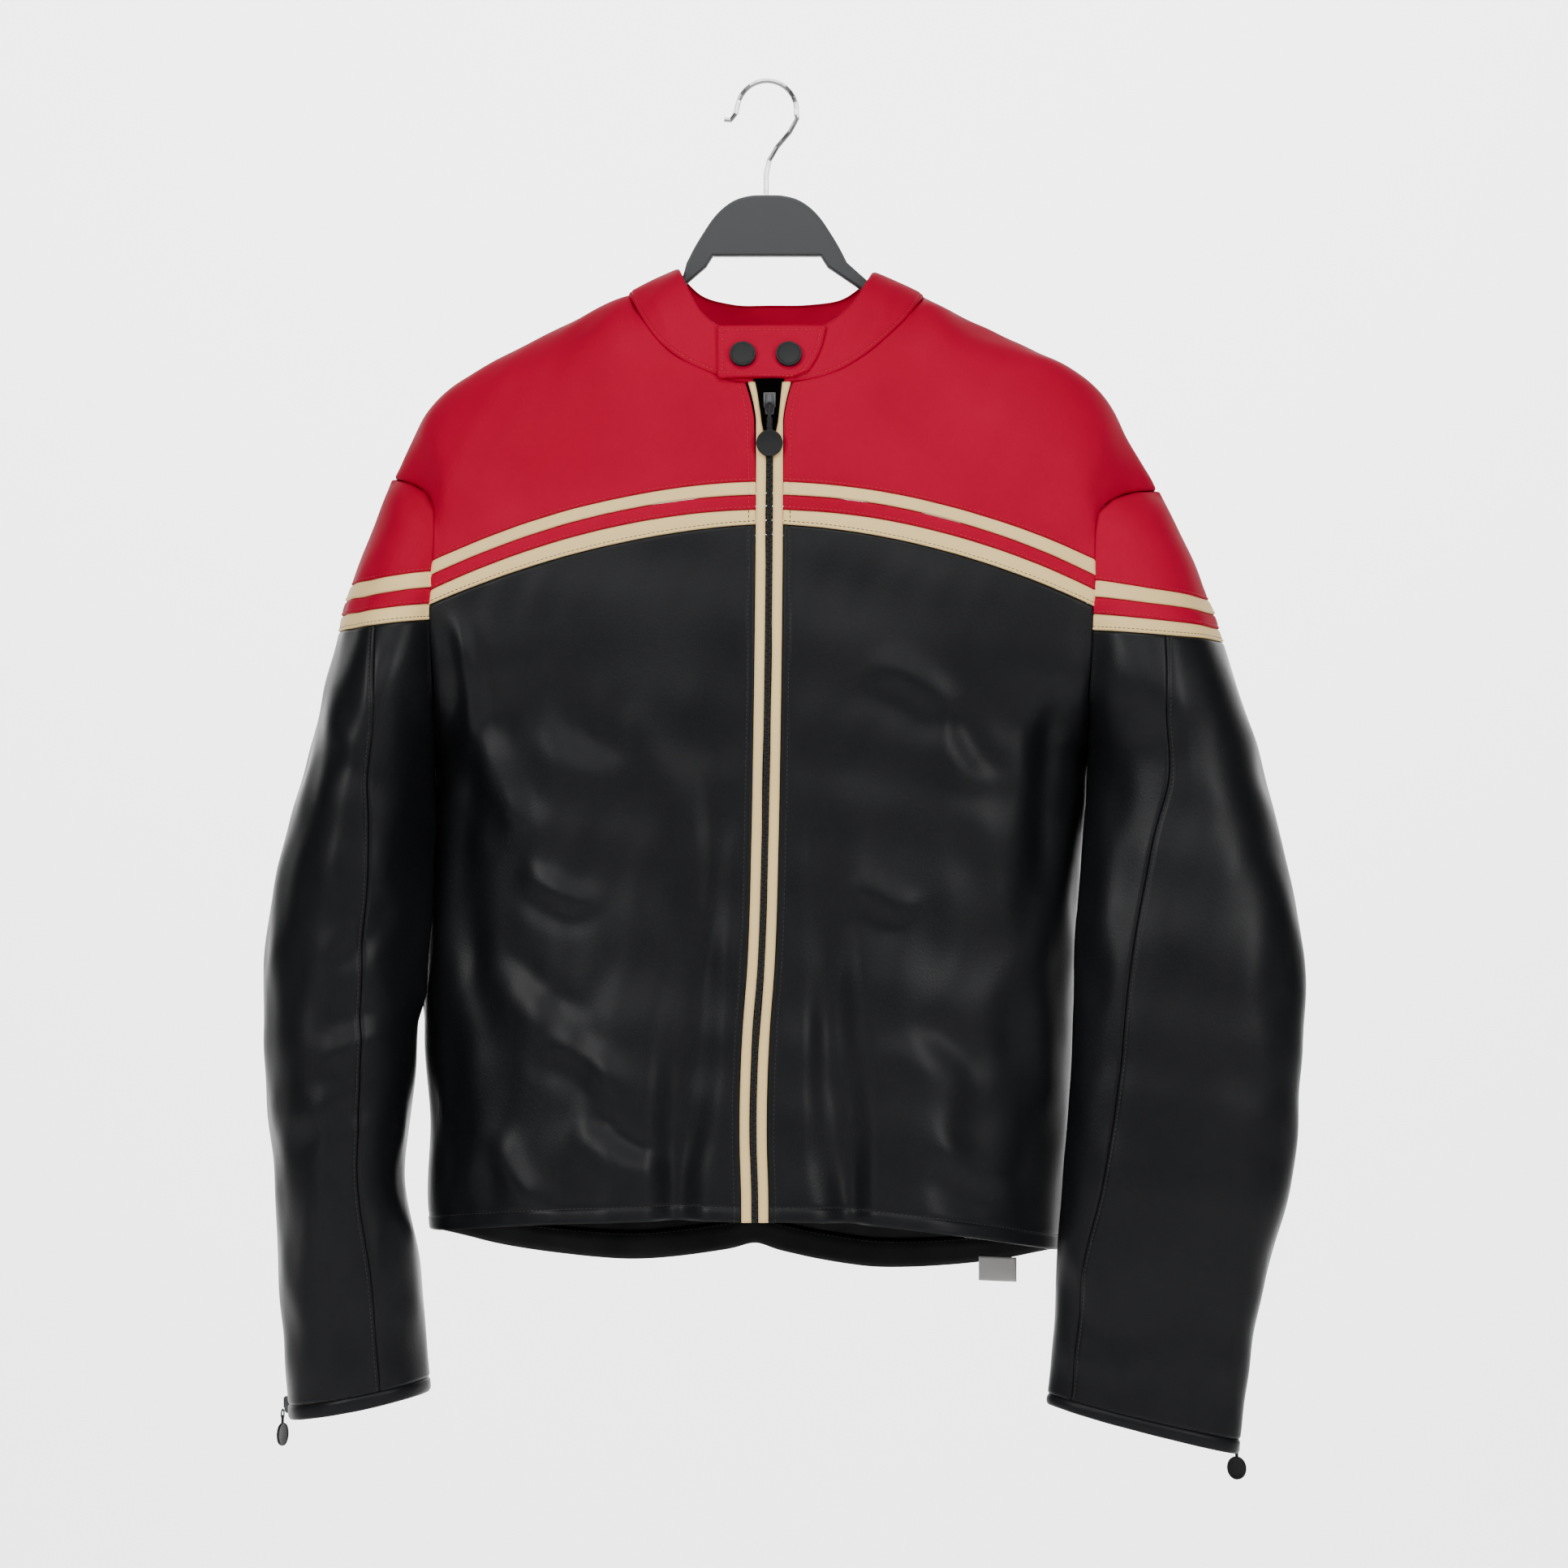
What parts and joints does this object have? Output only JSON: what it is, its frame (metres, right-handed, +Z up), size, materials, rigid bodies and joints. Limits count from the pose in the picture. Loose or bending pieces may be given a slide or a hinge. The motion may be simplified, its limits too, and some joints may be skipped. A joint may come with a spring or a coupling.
{
  "type": "motorcycle jacket on a clothes hanger",
  "caption": "Leather motorcycle jacket in black and red with cream stripes, a front zip and a snap collar tab, hung on a plastic clothes hanger with a wire hook.",
  "frame": {"origin": "the inner top of the hanger's hook, where it rests on a rail", "axes": "+Z up, +X to the wearer's left, -Y the jacket's front"},
  "size_m": [0.7148, 0.1732, 0.966],
  "materials": {
    "red_leather": "smooth dyed cowhide, semi-gloss, red",
    "black_leather": "smooth dyed cowhide, semi-gloss, black",
    "cream_leather": "smooth dyed leather, cream",
    "black_metal": "black enamelled zip parts and snaps",
    "hanger_plastic": "moulded dark grey plastic",
    "chrome_wire": "plated wire",
    "label_cloth": "pale woven label, blank"
  },
  "bodies": {
    "jacket": {"back_hem_facing": "black_leather", "back_panel": "black_leather", "back_stripe_lower": "cream_leather", "back_stripe_middle": "red_leather", "back_stripe_upper": "cream_leather", "back_yoke": "red_leather", "collar": "red_leather", "collar_tab": "red_leather", "cuff_band_left": "black_leather", "cuff_band_right": "black_leather", "cuff_slider_left": "black_metal", "cuff_slider_right": "black_metal", "cuff_zip_left": "black_metal", "cuff_zip_right": "black_metal", "front_panel_left": "black_leather", "front_panel_right": "black_leather", "front_stripe_lower_left": "cream_leather", "front_stripe_lower_right": "cream_leather", "front_stripe_middle_left": "red_leather", "front_stripe_middle_right": "red_leather", "front_stripe_upper_left": "cream_leather", "front_stripe_upper_right": "cream_leather", "front_yoke_left": "red_leather", "front_yoke_right": "red_leather", "hanger": "hanger_plastic", "hanger_hook": "chrome_wire", "hem_label": "label_cloth", "sleeve_cap_left": "red_leather", "sleeve_cap_right": "red_leather", "sleeve_stripe_lower_left": "cream_leather", "sleeve_stripe_lower_right": "cream_leather", "sleeve_stripe_middle_left": "red_leather", "sleeve_stripe_middle_right": "red_leather", "sleeve_stripe_upper_left": "cream_leather", "sleeve_stripe_upper_right": "cream_leather", "sleeve_top_left": "black_leather", "sleeve_top_right": "black_leather", "sleeve_under_left": "black_leather", "sleeve_under_right": "black_leather", "snap_inner": "black_metal", "snap_outer": "black_metal", "zip_binding_left": "cream_leather", "zip_binding_right": "cream_leather", "zip_chain": "black_metal", "zip_slider": "black_metal"},
    "zip_pull": {"zip_pull": "black_metal"},
    "cuff_pull_right": {"cuff_pull_right": "black_metal"},
    "cuff_pull_left": {"cuff_pull_left": "black_metal"}
  },
  "joints": [
    {"name": "zip_pull_hinge", "type": "hinge", "parent": "jacket", "child": "zip_pull", "pos_m": [0.00201, -0.07362, -0.226], "axis": [-1, 0, 0], "range_deg": [0, 150]},
    {"name": "cuff_pull_right_hinge", "type": "hinge", "parent": "jacket", "child": "cuff_pull_right", "pos_m": [-0.33532, 0.01348, -0.9165], "axis": [0.3536, 0.9354, 0], "range_deg": [0, 120]},
    {"name": "cuff_pull_left_hinge", "type": "hinge", "parent": "jacket", "child": "cuff_pull_left", "pos_m": [0.32374, -0.00348, -0.93757], "axis": [0.7312, -0.6821, 0], "range_deg": [0, 120]}
  ]
}
